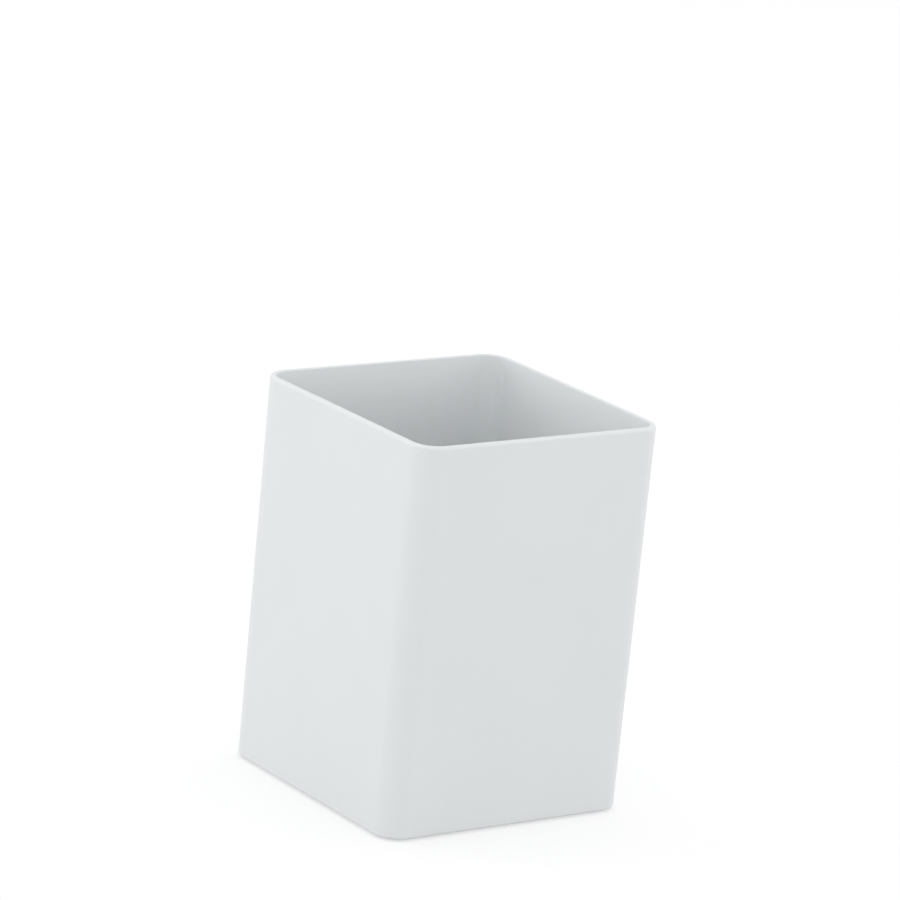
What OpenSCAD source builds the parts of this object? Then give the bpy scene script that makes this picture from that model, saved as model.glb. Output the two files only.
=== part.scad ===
// Square desk cup: a thin-walled white moulding with rounded upright corners
// and a softly rounded rim, standing on four soft feet under its base.
// Millimetres, +Z up, origin on the standing surface at the cup's middle, front towards -Y.

/* [Cup] */
// Outer width across the flats, at the rim
rim_w = 72.5; // [55:0.5:110]
// Overall height, from the standing surface to the rim
cup_h = 100; // [60:1:150]
// Outer radius of the upright corners, at the rim
corner_r = 6.75; // [6:0.25:14]
// Wall thickness at the rim
wall = 1.5; // [1.2:0.1:2.4]
// Radius of the rim's outer edge
rim_outer_r = 0.9; // [0.3:0.05:1.2]
// Radius of the rim's inner edge
rim_inner_r = 0.4; // [0.2:0.05:0.6]
// Lean of the outside faces, in degrees
outer_draft = 0.25; // [0.05:0.05:0.5]
// Lean of the inside faces, in degrees, which thickens the wall towards the floor
inner_draft = 0.5; // [0.3:0.05:0.8]

/* [Base] */
// Thickness of the floor
floor_t = 2.2; // [1.4:0.1:4]
// Radius where the floor meets the inside faces
floor_fillet_r = 2.5; // [0.8:0.1:3]
// Radius of the outside bottom edge
base_edge_r = 0.8; // [0.4:0.1:2]
// Width of the standing edge that runs round the underside
land_w = 3.4; // [2.4:0.1:4.5]
// Depth of the sunk panel inside the standing edge
panel_depth = 1; // [0.8:0.1:2]
// Lean of the sunk panel's sides, in degrees
panel_draft = 8; // [2:1:20]
// Diameter of the gate mark left at the middle of the panel
gate_d = 2.4; // [1:0.1:5]
// Height of the gate mark
gate_h = 0.4; // [0.2:0.05:0.6]

/* [Feet] */
// Diameter of a foot
foot_d = 9; // [6:0.5:14]
// How far a foot stands out below the standing edge
foot_stand = 0.4; // [0.4:0.1:1.2]
// Radius of a foot's lower edge
foot_edge_r = 0.4; // [0.1:0.05:0.6]
// Gap between a foot and the collar that locates it
foot_gap = 0.15; // [0.05:0.05:0.4]
// Wall thickness of a collar
collar_wall = 1; // [0.6:0.1:2]
// How far a collar stays above the standing edge
collar_drop = 0.2; // [0.1:0.05:0.5]
// Space between a collar and the side of the sunk panel
collar_space = 1.2; // [0.5:0.1:4]

/* [Hidden] */
$fn = 96;

cup_colour = "#f1f2f3";
foot_colour = "#8b8f92";

// Depth by which added features run into the solid that carries them
embed = floor_t / 2;

// Axis of each upright corner, which stays put while the radius follows the lean
corner_at = rim_w / 2 - corner_r;

// Levels, from the standing surface upwards
land_z = foot_stand;
panel_z = land_z + panel_depth;
floor_z = panel_z + floor_t;
rim_z = cup_h;

// Outside and inside faces at height z, measured outwards from a corner's axis
function outer_x(z) = corner_r - (rim_z - z) * tan(outer_draft);
function inner_x(z) = corner_r - wall - (rim_z - z) * tan(inner_draft);

// Directions square to the outside face, outwards, and to the inside face, into the cup
out_dir = [cos(outer_draft), -sin(outer_draft)];
in_dir = [-cos(inner_draft), sin(inner_draft)];

// Largest share of the wall that each of the rim's rounds may take, so that both fit on a thin wall
outer_round_share = 0.6;
inner_round_share = 0.3;

// The rim's two rounds touch its flat top and one face each
top_out_r = min(rim_outer_r, outer_round_share * wall);
top_in_r = min(rim_inner_r, inner_round_share * wall);
top_out_z = rim_z - top_out_r;
top_in_z = rim_z - top_in_r;
top_out_mid = [outer_x(top_out_z) - top_out_r / cos(outer_draft), top_out_z];
top_in_mid = [inner_x(top_in_z) + top_in_r / cos(inner_draft), top_in_z];

// The bottom edge's round touches the outside face and the standing edge
edge_z = land_z + base_edge_r;
edge_mid = [outer_x(edge_z) - base_edge_r / cos(outer_draft), edge_z];

// The floor's fillet touches the inside face and the floor
fillet_z = floor_z + floor_fillet_r;
fillet_mid = [inner_x(fillet_z) - floor_fillet_r / cos(inner_draft), fillet_z];

// Inner side of the standing edge, at its foot and where it meets the panel
land_x = outer_x(land_z) - land_w;
panel_x = land_x - panel_depth * tan(panel_draft);

// A foot fills its collar's depth and stands out below
foot_h = foot_stand + panel_depth;
socket_d = foot_d + 2 * foot_gap;
collar_d = socket_d + 2 * collar_wall;
collar_h = panel_depth - collar_drop;
foot_at = corner_at + panel_x - collar_space - collar_d / 2;

// Section through the wall and the floor's margin, outwards from a corner's axis
module wall_section() {
    difference() {
        polygon([
            [0, panel_z],
            [panel_x, panel_z],
            [land_x, land_z],
            [edge_mid.x, land_z],
            edge_mid + base_edge_r * out_dir,
            top_out_mid + top_out_r * out_dir,
            [top_out_mid.x, rim_z],
            [top_in_mid.x, rim_z],
            top_in_mid + top_in_r * in_dir,
            fillet_mid - floor_fillet_r * in_dir,
            [fillet_mid.x, floor_z],
            [0, floor_z],
        ]);
        translate(fillet_mid)
            circle(r = floor_fillet_r);
    }
    translate(top_out_mid)
        circle(r = top_out_r);
    translate(top_in_mid)
        circle(r = top_in_r);
    translate(edge_mid)
        circle(r = base_edge_r);
}

// One straight side of the cup, on +X
module straight_side() {
    translate([corner_at, corner_at, 0])
        rotate([90, 0, 0])
            linear_extrude(height = 2 * corner_at)
                wall_section();
}

// One upright corner, between +X and +Y
module upright_corner() {
    translate([corner_at, corner_at, 0])
        rotate_extrude(angle = 90)
            wall_section();
}

// Low ring under the panel that locates a foot
module foot_collar() {
    difference() {
        cylinder(d = collar_d, h = collar_h + embed);
        translate([0, 0, -embed])
            cylinder(d = socket_d, h = collar_h + embed);
    }
}

// Places a shape at the foot on the given sides: -1 or 1 along X and Y
module at_foot(side_x, side_y, z) {
    translate([side_x * foot_at, side_y * foot_at, z])
        children();
}

module cup_body() {
    color(cup_colour)
        union() {
            for (turn = [0 : 90 : 270])
                rotate([0, 0, turn]) {
                    straight_side();
                    upright_corner();
                }
            translate([-corner_at, -corner_at, panel_z])
                cube([2 * corner_at, 2 * corner_at, floor_t]);
            for (side_x = [-1, 1], side_y = [-1, 1])
                at_foot(side_x, side_y, land_z + collar_drop)
                    foot_collar();
            translate([0, 0, panel_z - gate_h])
                cylinder(d = gate_d, h = gate_h + embed);
        }
}

// Soft disc with a rounded lower edge, stuck to the panel inside its collar
module foot(side_x, side_y) {
    sole_r = foot_d / 2 - foot_edge_r;
    color(foot_colour)
        at_foot(side_x, side_y, 0)
            rotate_extrude()
                union() {
                    square([sole_r, foot_h]);
                    translate([0, foot_edge_r])
                        square([foot_d / 2, foot_h - foot_edge_r]);
                    translate([sole_r, foot_edge_r])
                        circle(r = foot_edge_r);
                }
}

cup_body();
foot(-1, -1);  // foot_front_left
foot(1, -1);  // foot_front_right
foot(-1, 1);  // foot_back_left
foot(1, 1);  // foot_back_right
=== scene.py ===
from math import cos, pi, radians, sin, tan

import bpy
from mathutils import Matrix, Vector


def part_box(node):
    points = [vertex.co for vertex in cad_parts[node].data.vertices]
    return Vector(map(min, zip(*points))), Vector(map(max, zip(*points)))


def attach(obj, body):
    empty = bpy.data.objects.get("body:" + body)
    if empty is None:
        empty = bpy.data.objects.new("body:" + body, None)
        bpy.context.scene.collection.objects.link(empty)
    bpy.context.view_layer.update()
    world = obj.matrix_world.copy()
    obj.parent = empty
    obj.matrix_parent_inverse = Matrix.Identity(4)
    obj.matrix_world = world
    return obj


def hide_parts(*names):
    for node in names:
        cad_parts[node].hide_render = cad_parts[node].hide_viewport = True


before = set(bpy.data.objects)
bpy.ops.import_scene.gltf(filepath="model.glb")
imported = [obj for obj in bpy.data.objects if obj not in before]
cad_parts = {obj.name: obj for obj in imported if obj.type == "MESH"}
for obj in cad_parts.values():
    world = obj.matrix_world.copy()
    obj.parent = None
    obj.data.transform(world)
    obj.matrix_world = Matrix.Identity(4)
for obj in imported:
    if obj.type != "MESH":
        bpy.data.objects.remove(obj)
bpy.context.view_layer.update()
scene = bpy.context.scene


# Cup body: one thin-walled injection moulding in satin white ABS, square with rounded upright
# corners. Its faces lean a fraction of a degree so that it leaves the mould, its rim is softly
# rounded, and a standing edge, a sunk panel, foot collars and the gate mark lie under its floor.
MM = 0.001
body_low, body_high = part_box("cup_body")
rim_half = body_high.x
rim_z = body_high.z
land_z = body_low.z
corner_r = 6.75 * MM
wall = 1.5 * MM
rim_outer_r = 0.9 * MM
rim_inner_r = 0.4 * MM
outer_lean = radians(0.25)
inner_lean = radians(0.5)
floor_t = 2.2 * MM
floor_fillet_r = 2.5 * MM
base_edge_r = 0.8 * MM
land_w = 3.4 * MM
panel_depth = 1.0 * MM
panel_lean = radians(8)
soft_edge_r = 0.25 * MM
gate_r = 1.2 * MM
gate_end_r = 1.0 * MM
gate_h = 0.4 * MM
collar_wall = 1.0 * MM
collar_drop = 0.2 * MM
foot_gap = 0.15 * MM
foot_low, foot_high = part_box("foot_front_left")
foot_r = (foot_high.x - foot_low.x) / 2
foot_at = -(foot_high.x + foot_low.x) / 2
corner_at = rim_half - corner_r
panel_z = land_z + panel_depth
floor_z = panel_z + floor_t
# the collars and the gate mark start inside the floor, and stand out below it
embed = floor_t / 2
collar_h = panel_depth - collar_drop + embed


def linear(hex_colour):
    """An sRGB hex colour as the linear RGBA that Blender's sockets take."""
    channels = [int(hex_colour[i : i + 2], 16) / 255 for i in (1, 3, 5)]
    return tuple(c / 12.92 if c <= 0.04045 else ((c + 0.055) / 1.055) ** 2.4 for c in channels) + (1.0,)


def add_node(tree, kind, feeds=None, **settings):
    """Adds a node with its settings. A feed is a value, a socket, a node for its own output, or a list."""
    node = tree.nodes.new(kind)
    for name, value in settings.items():
        setattr(node, name, value)
    for name, value in (feeds or {}).items():
        for source in value if isinstance(value, list) else [value]:
            if isinstance(source, bpy.types.Node):
                source = next(output for output in source.outputs if output.enabled)
            if isinstance(source, bpy.types.NodeSocket):
                tree.links.new(source, node.inputs[name])
            else:
                node.inputs[name].default_value = source
    return node


def new_material(name):
    """An empty node material and its tree."""
    material = bpy.data.materials.new(name)
    material.use_nodes = True
    material.node_tree.nodes.clear()
    return material, material.node_tree


def moulded_abs():
    """White ABS from a finely spark-eroded mould: a soft sheen with no sharp highlight, faintly cloudy."""
    material, tree = new_material("moulded_satin_white_abs")
    cloud_size = 24 * MM
    sheen_size = 5 * MM
    # the real spark grain is about 0.08 mm; drawn coarser so that it shows at this size
    grain_size = 0.3 * MM
    grain_depth = 0.02 * MM
    place = add_node(tree, "ShaderNodeTexCoord").outputs["Object"]
    cloud = add_node(tree, "ShaderNodeTexNoise", {"Vector": place, "Scale": 1 / cloud_size, "Detail": 3.0})
    shades = {"Factor": cloud, "A": linear("#ebeeef"), "B": linear("#eff2f3")}
    tint = add_node(tree, "ShaderNodeMix", shades, data_type="RGBA")
    sheen = add_node(tree, "ShaderNodeTexNoise", {"Vector": place, "Scale": 1 / sheen_size, "Detail": 2.0})
    roughness = add_node(tree, "ShaderNodeMapRange", {"Value": sheen, "To Min": 0.4, "To Max": 0.5})
    grain = add_node(tree, "ShaderNodeTexNoise", {"Vector": place, "Scale": 1 / grain_size, "Detail": 2.0})
    bump = add_node(tree, "ShaderNodeBump", {"Height": grain, "Strength": 0.12, "Distance": grain_depth})
    finish = {"Base Color": tint, "Roughness": roughness, "IOR": 1.54, "Normal": bump}
    shader = add_node(tree, "ShaderNodeBsdfPrincipled", finish)
    add_node(tree, "ShaderNodeOutputMaterial", {"Surface": shader})
    return material


def arc(mid, radius, start, end, steps):
    """Points along a round, from one angle to another."""
    angles = [start + (end - start) * i / steps for i in range(steps + 1)]
    return [(mid[0] + radius * cos(a), mid[1] + radius * sin(a)) for a in angles]


def outer_x(z):
    """The outside face at height z, measured outwards from a corner's axis."""
    return corner_r - (rim_z - z) * tan(outer_lean)


def inner_x(z):
    """The inside face at height z, measured outwards from a corner's axis."""
    return corner_r - wall - (rim_z - z) * tan(inner_lean)


# how far the path that carries a section lies from the axis that the section turns about
path_r = 1.0 * MM
# the middle of each round, measured outwards from a corner's axis and upwards
fillet_z = floor_z + floor_fillet_r
fillet_mid = (inner_x(fillet_z) - floor_fillet_r / cos(inner_lean), fillet_z)
rim_in_z = rim_z - rim_inner_r
rim_in_mid = (inner_x(rim_in_z) + rim_inner_r / cos(inner_lean), rim_in_z)
rim_out_z = rim_z - rim_outer_r
rim_out_mid = (outer_x(rim_out_z) - rim_outer_r / cos(outer_lean), rim_out_z)
edge_z = land_z + base_edge_r
edge_mid = (outer_x(edge_z) - base_edge_r / cos(outer_lean), edge_z)
land_x = outer_x(land_z) - land_w
panel_x = land_x - panel_depth * tan(panel_lean)
soft_edge_reach = soft_edge_r * tan((pi / 2 - panel_lean) / 2)
land_mid = (land_x + soft_edge_reach, land_z + soft_edge_r)
panel_mid = (panel_x - soft_edge_reach, panel_z - soft_edge_r)
# the section runs from the floor, up and over the rim, down round the standing edge, to the sunk panel
wall_section = [(path_r, floor_z)]
wall_section += arc(fillet_mid, floor_fillet_r, -pi / 2, -inner_lean, steps=16)
wall_section += arc(rim_in_mid, rim_inner_r, pi - inner_lean, pi / 2, steps=10)
wall_section += arc(rim_out_mid, rim_outer_r, pi / 2, -outer_lean, steps=16)
wall_section += arc(edge_mid, base_edge_r, -outer_lean, -pi / 2, steps=12)
wall_section += arc(land_mid, soft_edge_r, 3 * pi / 2, pi + panel_lean, steps=5)
wall_section += arc(panel_mid, soft_edge_r, panel_lean, pi / 2, steps=5)
wall_section += [(path_r, panel_z)]


def section_curve(name, points):
    """A section as an open curve, measured from the path that carries it, with its height turned down."""
    curve = bpy.data.curves.new(name, "CURVE")
    curve.dimensions = "3D"
    spline = curve.splines.new("POLY")
    spline.points.add(len(points) - 1)
    for point, (x, z) in zip(spline.points, points):
        point.co = (x - path_r, -z, 0, 1)
    return bpy.data.objects.new(name, curve)


def new_tree(name, sizes):
    """A Geometry Nodes tree with named inputs, its input sockets, and their identifiers."""
    tree = bpy.data.node_groups.new(name, "GeometryNodeTree")
    tree.interface.new_socket("Geometry", in_out="OUTPUT", socket_type="NodeSocketGeometry")
    identifiers = {}
    for size, kind in sizes.items():
        socket = tree.interface.new_socket(size, in_out="INPUT", socket_type="NodeSocket" + kind)
        identifiers[size] = socket.identifier
    return tree, add_node(tree, "NodeGroupInput").outputs, identifiers


def rounded(tree, width, height, radius, steps):
    """A rectangle with rounded corners, as a curve."""
    sides = add_node(tree, "GeometryNodeCurvePrimitiveQuadrilateral", {"Width": width, "Height": height})
    corners = {"Curve": sides, "Count": steps, "Radius": radius}
    return add_node(tree, "GeometryNodeFilletCurve", corners, mode="POLY")


def swept(tree, path, profile):
    """A profile carried round a level path, upright all the way."""
    level = add_node(tree, "GeometryNodeSetCurveNormal", {"Curve": path}, mode="Z_UP")
    return add_node(tree, "GeometryNodeCurveToMesh", {"Curve": level, "Profile Curve": profile})


def raised(tree, geometry, height):
    """Geometry lifted to a height."""
    lift = add_node(tree, "ShaderNodeCombineXYZ", {"Z": height})
    return add_node(tree, "GeometryNodeTransform", {"Geometry": geometry, "Translation": lift})


def closed_sweep(tree, path, section, first_height, last_height):
    """A section carried round a path, with flat sheets that close it at its first and its last point."""
    weld = 0.001 * MM
    profile = add_node(tree, "GeometryNodeObjectInfo", {"Object": section}).outputs["Geometry"]
    sheet = add_node(tree, "GeometryNodeFillCurve", {"Curve": path}, mode="NGONS")
    turned = add_node(tree, "GeometryNodeFlipFaces", {"Mesh": sheet})
    faces = [
        swept(tree, path, profile),
        raised(tree, sheet, first_height),
        raised(tree, turned, last_height),
    ]
    shell = add_node(tree, "GeometryNodeJoinGeometry", {"Geometry": faces})
    return add_node(tree, "GeometryNodeMergeByDistance", {"Geometry": shell, "Distance": weld})


def finish_tree(tree, geometry, material):
    """Realizes instances, splits the shading at sharp edges, sets the material and ends the tree."""
    sharp = radians(30)
    whole = add_node(tree, "GeometryNodeRealizeInstances", {"Geometry": geometry})
    smooth = add_node(tree, "GeometryNodeSetShadeSmooth", {"Geometry": whole})
    angle = add_node(tree, "GeometryNodeInputMeshEdgeAngle").outputs["Unsigned Angle"]
    is_sharp = add_node(tree, "FunctionNodeCompare", {"A": angle, "B": sharp}, operation="GREATER_THAN")
    edges = {"Geometry": smooth, "Selection": is_sharp, "Shade Smooth": False}
    split = add_node(tree, "GeometryNodeSetShadeSmooth", edges, domain="EDGE")
    dressed = add_node(tree, "GeometryNodeSetMaterial", {"Geometry": split, "Material": material})
    add_node(tree, "NodeGroupOutput", {"Geometry": dressed})


def grow(name, tree, identifiers, values):
    """Runs a tree on an empty mesh and returns the result as a plain mesh object at the origin."""
    seed = bpy.data.objects.new(name + "_seed", bpy.data.meshes.new(name + "_seed"))
    scene.collection.objects.link(seed)
    nodes = seed.modifiers.new("nodes", "NODES")
    nodes.node_group = tree
    for size, value in values.items():
        nodes[identifiers[size]] = value
    weighted = seed.modifiers.new("flat faces stay flat", "WEIGHTED_NORMAL")
    weighted.keep_sharp = True
    graph = bpy.context.evaluated_depsgraph_get()
    mesh = bpy.data.meshes.new_from_object(seed.evaluated_get(graph), depsgraph=graph)
    bpy.data.objects.remove(seed)
    mesh.name = name
    # joining bare sheets leaves an empty material slot before the real one
    if mesh.materials[0] is None:
        mesh.materials.pop(index=0)
    piece = bpy.data.objects.new(name, mesh)
    scene.collection.objects.link(piece)
    return piece


def cup_tree():
    """Sweeps the wall section round a rounded square, closes the floor and adds the underside's marks."""
    sizes = {
        "Section": "Object",
        "Path side": "Float",
        "Path radius": "Float",
        "Corner steps": "Int",
        "Floor height": "Float",
        "Panel height": "Float",
        "Collar middle radius": "Float",
        "Collar wall": "Float",
        "Collar depth": "Float",
        "Collar middle height": "Float",
        "Collar steps": "Int",
        "Foot spacing": "Float",
        "Gate radius": "Float",
        "Gate end radius": "Float",
        "Gate depth": "Float",
        "Gate height": "Float",
        "Gate steps": "Int",
        "Soft edge": "Float",
        "Soft edge steps": "Int",
        "Plastic": "Material",
    }
    tree, given, identifiers = new_tree("swept_cup", sizes)
    side = given["Path side"]
    path = rounded(tree, side, side, given["Path radius"], given["Corner steps"])
    cup = closed_sweep(tree, path, given["Section"], given["Floor height"], given["Panel height"])
    # one collar, then one at each foot
    collar_section = rounded(
        tree, given["Collar wall"], given["Collar depth"], given["Soft edge"], given["Soft edge steps"]
    )
    turn = {"Resolution": given["Collar steps"], "Radius": given["Collar middle radius"]}
    collar_path = add_node(tree, "GeometryNodeCurvePrimitiveCircle", turn)
    collar = raised(tree, swept(tree, collar_path, collar_section), given["Collar middle height"])
    spacing = given["Foot spacing"]
    corners = {"Size X": spacing, "Size Y": spacing, "Vertices X": 2, "Vertices Y": 2}
    places = add_node(tree, "GeometryNodeMeshGrid", corners)
    copies = add_node(tree, "GeometryNodeInstanceOnPoints", {"Points": places, "Instance": collar})
    collars = add_node(tree, "GeometryNodeRealizeInstances", {"Geometry": copies})
    # the gate mark, slightly narrower at its broken-off end
    nub = {
        "Vertices": given["Gate steps"],
        "Radius Top": given["Gate radius"],
        "Radius Bottom": given["Gate end radius"],
        "Depth": given["Gate depth"],
    }
    gate = raised(tree, add_node(tree, "GeometryNodeMeshCone", nub), given["Gate height"])
    solids = {"Mesh 2": [cup, collars, gate]}
    whole = add_node(tree, "GeometryNodeMeshBoolean", solids, operation="UNION", solver="MANIFOLD")
    finish_tree(tree, whole, given["Plastic"])
    return tree, identifiers


cup_profile = section_curve("wall_section", wall_section)
cup_body = grow(
    "cup_body_moulding",
    *cup_tree(),
    {
        "Section": cup_profile,
        "Path side": 2 * (corner_at + path_r),
        "Path radius": path_r,
        "Corner steps": 24,
        "Floor height": floor_z,
        "Panel height": panel_z,
        "Collar middle radius": foot_r + foot_gap + collar_wall / 2,
        "Collar wall": collar_wall,
        "Collar depth": collar_h,
        "Collar middle height": land_z + collar_drop + collar_h / 2,
        "Collar steps": 64,
        "Foot spacing": 2 * foot_at,
        "Gate radius": gate_r,
        "Gate end radius": gate_end_r,
        "Gate depth": gate_h + embed,
        "Gate height": panel_z - gate_h,
        "Gate steps": 32,
        "Soft edge": soft_edge_r,
        "Soft edge steps": 4,
        "Plastic": moulded_abs(),
    },
)
bpy.data.objects.remove(cup_profile)
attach(cup_body, "root")
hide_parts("cup_body")


# Feet: four discs of soft grey thermoplastic rubber with a rounded lower edge, stuck to the sunk
# panel inside their collars. They stand out just below the cup's standing edge and keep it still.
foot_names = ["foot_front_left", "foot_front_right", "foot_back_left", "foot_back_right"]
foot_edge_r = 0.4 * MM
foot_top = foot_high.z
sole_r = foot_r - foot_edge_r


def moulded_rubber():
    """Grey thermoplastic rubber, matt from the mould: a dry, even surface with a slight dusty mottle."""
    material, tree = new_material("moulded_matt_grey_rubber")
    mottle_size = 2.5 * MM
    grain_size = 0.2 * MM
    grain_depth = 0.02 * MM
    place = add_node(tree, "ShaderNodeTexCoord").outputs["Object"]
    mottle = add_node(tree, "ShaderNodeTexNoise", {"Vector": place, "Scale": 1 / mottle_size, "Detail": 4.0})
    shades = {"Factor": mottle, "A": linear("#84888b"), "B": linear("#92969a")}
    tint = add_node(tree, "ShaderNodeMix", shades, data_type="RGBA")
    roughness = add_node(tree, "ShaderNodeMapRange", {"Value": mottle, "To Min": 0.74, "To Max": 0.86})
    grain = add_node(tree, "ShaderNodeTexNoise", {"Vector": place, "Scale": 1 / grain_size, "Detail": 2.0})
    bump = add_node(tree, "ShaderNodeBump", {"Height": grain, "Strength": 0.3, "Distance": grain_depth})
    finish = {"Base Color": tint, "Roughness": roughness, "IOR": 1.5, "Normal": bump}
    shader = add_node(tree, "ShaderNodeBsdfPrincipled", finish)
    add_node(tree, "ShaderNodeOutputMaterial", {"Surface": shader})
    return material


def foot_tree():
    """Sweeps the foot's section round a small circle, closes both faces and puts the disc in its place."""
    sizes = {
        "Section": "Object",
        "Path radius": "Float",
        "Steps": "Int",
        "Top height": "Float",
        "Sole height": "Float",
        "Place": "Vector",
        "Rubber": "Material",
    }
    tree, given, identifiers = new_tree("swept_foot", sizes)
    turn = {"Resolution": given["Steps"], "Radius": given["Path radius"]}
    path = add_node(tree, "GeometryNodeCurvePrimitiveCircle", turn)
    disc = closed_sweep(tree, path, given["Section"], given["Top height"], given["Sole height"])
    placed = add_node(tree, "GeometryNodeTransform", {"Geometry": disc, "Translation": given["Place"]})
    finish_tree(tree, placed, given["Rubber"])
    return tree, identifiers


foot_section = [(path_r, foot_top), (foot_r, foot_top)]
foot_section += arc((sole_r, foot_edge_r), foot_edge_r, 0, -pi / 2, steps=8)
foot_section += [(path_r, 0)]
foot_profile = section_curve("foot_section", foot_section)
foot_nodes, foot_sockets = foot_tree()
foot_rubber = moulded_rubber()
for foot_name in foot_names:
    low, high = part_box(foot_name)
    foot = grow(
        foot_name + "_pad",
        foot_nodes,
        foot_sockets,
        {
            "Section": foot_profile,
            "Path radius": path_r,
            "Steps": 72,
            "Top height": foot_top,
            "Sole height": 0.0,
            "Place": ((low.x + high.x) / 2, (low.y + high.y) / 2, 0.0),
            "Rubber": foot_rubber,
        },
    )
    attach(foot, "root")
    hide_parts(foot_name)
bpy.data.objects.remove(foot_profile)


# Table: a plain sheet of white card that the cup stands on. It is not part of the object.
# It reads as white and takes the cup's soft shadow. Under the cup, where it doesn't show,
# it lets light through, so that the underside is lit when that is looked at from below.
table_side = 6.0


def seen_directly(tree):
    """1 where a surface is looked at, straight, in a reflection or through glass, 0 where light bounces."""
    ray = add_node(tree, "ShaderNodeLightPath").outputs
    seen = ray["Is Camera Ray"]
    for look in ("Is Glossy Ray", "Is Transmission Ray"):
        seen = add_node(tree, "ShaderNodeMath", {0: seen, 1: ray[look]}, operation="MAXIMUM")
    return seen


def under_cup(tree):
    """1 under the sunk panel, falling to 0 at the outside of the cup's standing edge."""
    place = add_node(tree, "ShaderNodeTexCoord").outputs["Object"]
    quarter = add_node(tree, "ShaderNodeVectorMath", {0: place}, operation="ABSOLUTE")
    axis = (corner_at, corner_at, 0)
    outwards = add_node(tree, "ShaderNodeVectorMath", {0: quarter, 1: axis}, operation="SUBTRACT")
    past_axis = add_node(tree, "ShaderNodeVectorMath", {0: outwards, 1: (0, 0, 0)}, operation="MAXIMUM")
    reach = add_node(tree, "ShaderNodeVectorMath", {0: past_axis}, operation="LENGTH")
    fall = {"Value": reach, "From Min": land_x, "From Max": outer_x(land_z), "To Min": 1.0, "To Max": 0.0}
    return add_node(tree, "ShaderNodeMapRange", fall)


def white_card():
    """A white card, lifted to paper white where it is looked at, and clear to a camera that is below it."""
    material, tree = new_material("white_card")
    card = add_node(tree, "ShaderNodeBsdfDiffuse", {"Color": linear("#cccccc")})
    lift = add_node(tree, "ShaderNodeEmission", {"Color": linear("#ffffff"), "Strength": 0.46})
    lifted = add_node(tree, "ShaderNodeAddShader", {0: card, 1: lift})
    above = add_node(tree, "ShaderNodeMixShader", {0: seen_directly(tree), 1: card, 2: lifted})
    back = add_node(tree, "ShaderNodeNewGeometry").outputs["Backfacing"]
    camera_ray = add_node(tree, "ShaderNodeLightPath").outputs["Is Camera Ray"]
    # a camera sees through the back of the sheet, and light passes where the sheet is under the cup
    openness = {"Factor": camera_ray, "A": under_cup(tree), "B": back}
    see_through = add_node(tree, "ShaderNodeMix", openness, data_type="FLOAT")
    clear = add_node(tree, "ShaderNodeBsdfTransparent")
    shown = add_node(tree, "ShaderNodeMixShader", {0: see_through, 1: above, 2: clear})
    add_node(tree, "ShaderNodeOutputMaterial", {"Surface": shown})
    return material


bpy.ops.mesh.primitive_plane_add(size=table_side)
table = bpy.context.object
table.name = "table"
table.data.materials.append(white_card())


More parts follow.
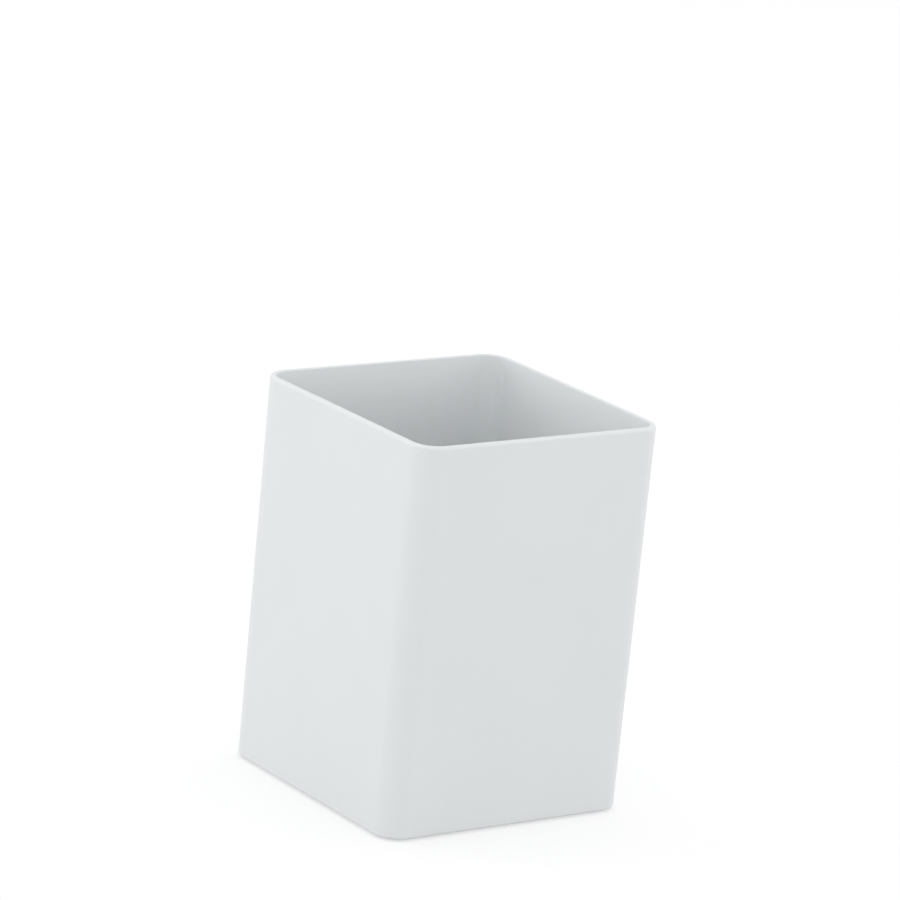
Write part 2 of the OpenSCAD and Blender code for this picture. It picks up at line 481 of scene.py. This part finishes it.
# Light: a white tent whose walls glow more than its roof, so that the outside is lit evenly all
# round and the inside stays dimmer. A brighter patch straight above lights the rim, and two wide
# soft panels lift the left face and the corner at the right.
below_glow = 0.5
wall_glow = 1.46
roof_glow = 0.6
top_glow = 1.38
wall_rise = (radians(-25), radians(-5))
roof_rise = (radians(15), radians(35))
top_rise = (radians(60), radians(75))
world = bpy.data.worlds.new("white_tent")
scene.world = world
world.use_nodes = True
tent = world.node_tree
tent.nodes.clear()
direction = add_node(tent, "ShaderNodeTexCoord").outputs["Generated"]
height = add_node(tent, "ShaderNodeSeparateXYZ", {"Vector": direction}).outputs["Z"]
glow = add_node(tent, "ShaderNodeBackground", {"Color": linear("#ffffff"), "Strength": below_glow})
for (start, end), strength in [(wall_rise, wall_glow), (roof_rise, roof_glow), (top_rise, top_glow)]:
    rise = {"Value": height, "From Min": sin(start), "From Max": sin(end)}
    reached = add_node(tent, "ShaderNodeMapRange", rise, interpolation_type="SMOOTHSTEP")
    higher = add_node(tent, "ShaderNodeBackground", {"Color": linear("#ffffff"), "Strength": strength})
    glow = add_node(tent, "ShaderNodeMixShader", {0: reached, 1: glow, 2: higher})
backdrop = add_node(tent, "ShaderNodeBackground", {"Color": linear("#ffffff"), "Strength": 1.0})
sky = add_node(tent, "ShaderNodeMixShader", {0: seen_directly(tent), 1: glow, 2: backdrop})
add_node(tent, "ShaderNodeOutputWorld", {"Surface": sky})


def way_out(azimuth, elevation):
    """The direction out from the cup, turned from its front towards its right, and raised."""
    return Vector((sin(azimuth) * cos(elevation), -cos(azimuth) * cos(elevation), sin(elevation)))


def soft_panel(name, azimuth, elevation, distance, size, power):
    """A square softbox aimed at the cup's middle, which leaves no bright square in a reflection."""
    lamp = bpy.data.lights.new(name, "AREA")
    lamp.shape = "SQUARE"
    lamp.size = size
    lamp.energy = power
    panel = bpy.data.objects.new(name, lamp)
    back = way_out(azimuth, elevation)
    panel.location = Vector((0, 0, rim_z / 2)) + back * distance
    panel.rotation_mode = "QUATERNION"
    panel.rotation_quaternion = back.to_track_quat("Z", "Y")
    panel.visible_glossy = False
    scene.collection.objects.link(panel)


soft_panel("left_panel", azimuth=radians(-130), elevation=radians(12), distance=0.9, size=0.6, power=0.95)
soft_panel("right_panel", azimuth=radians(90), elevation=radians(12), distance=0.9, size=0.6, power=0.8)


# Camera: a long lens from the front left corner, a little above the rim,
# tipped to one side as the picture is.
camera_azimuth = radians(-36.421)
camera_elevation = radians(15.335)
camera_roll = radians(5.640)
camera_distance = 1262.68 * MM
aim = Vector((4.058, 8.541, 84.049)) * MM
picture_px = 900
focal_px = 5065.8
away = way_out(camera_azimuth, camera_elevation)
lens = bpy.data.cameras.new("camera")
lens.sensor_width = 36.0
lens.lens = lens.sensor_width * focal_px / picture_px
lens.clip_start = 0.01
lens.clip_end = 50.0
camera = bpy.data.objects.new("camera", lens)
turn = away.to_track_quat("Z", "Y").to_matrix().to_4x4() @ Matrix.Rotation(camera_roll, 4, "Z")
camera.matrix_world = Matrix.Translation(aim + away * camera_distance) @ turn
scene.collection.objects.link(camera)
scene.camera = camera
scene.view_settings.view_transform = "Standard"
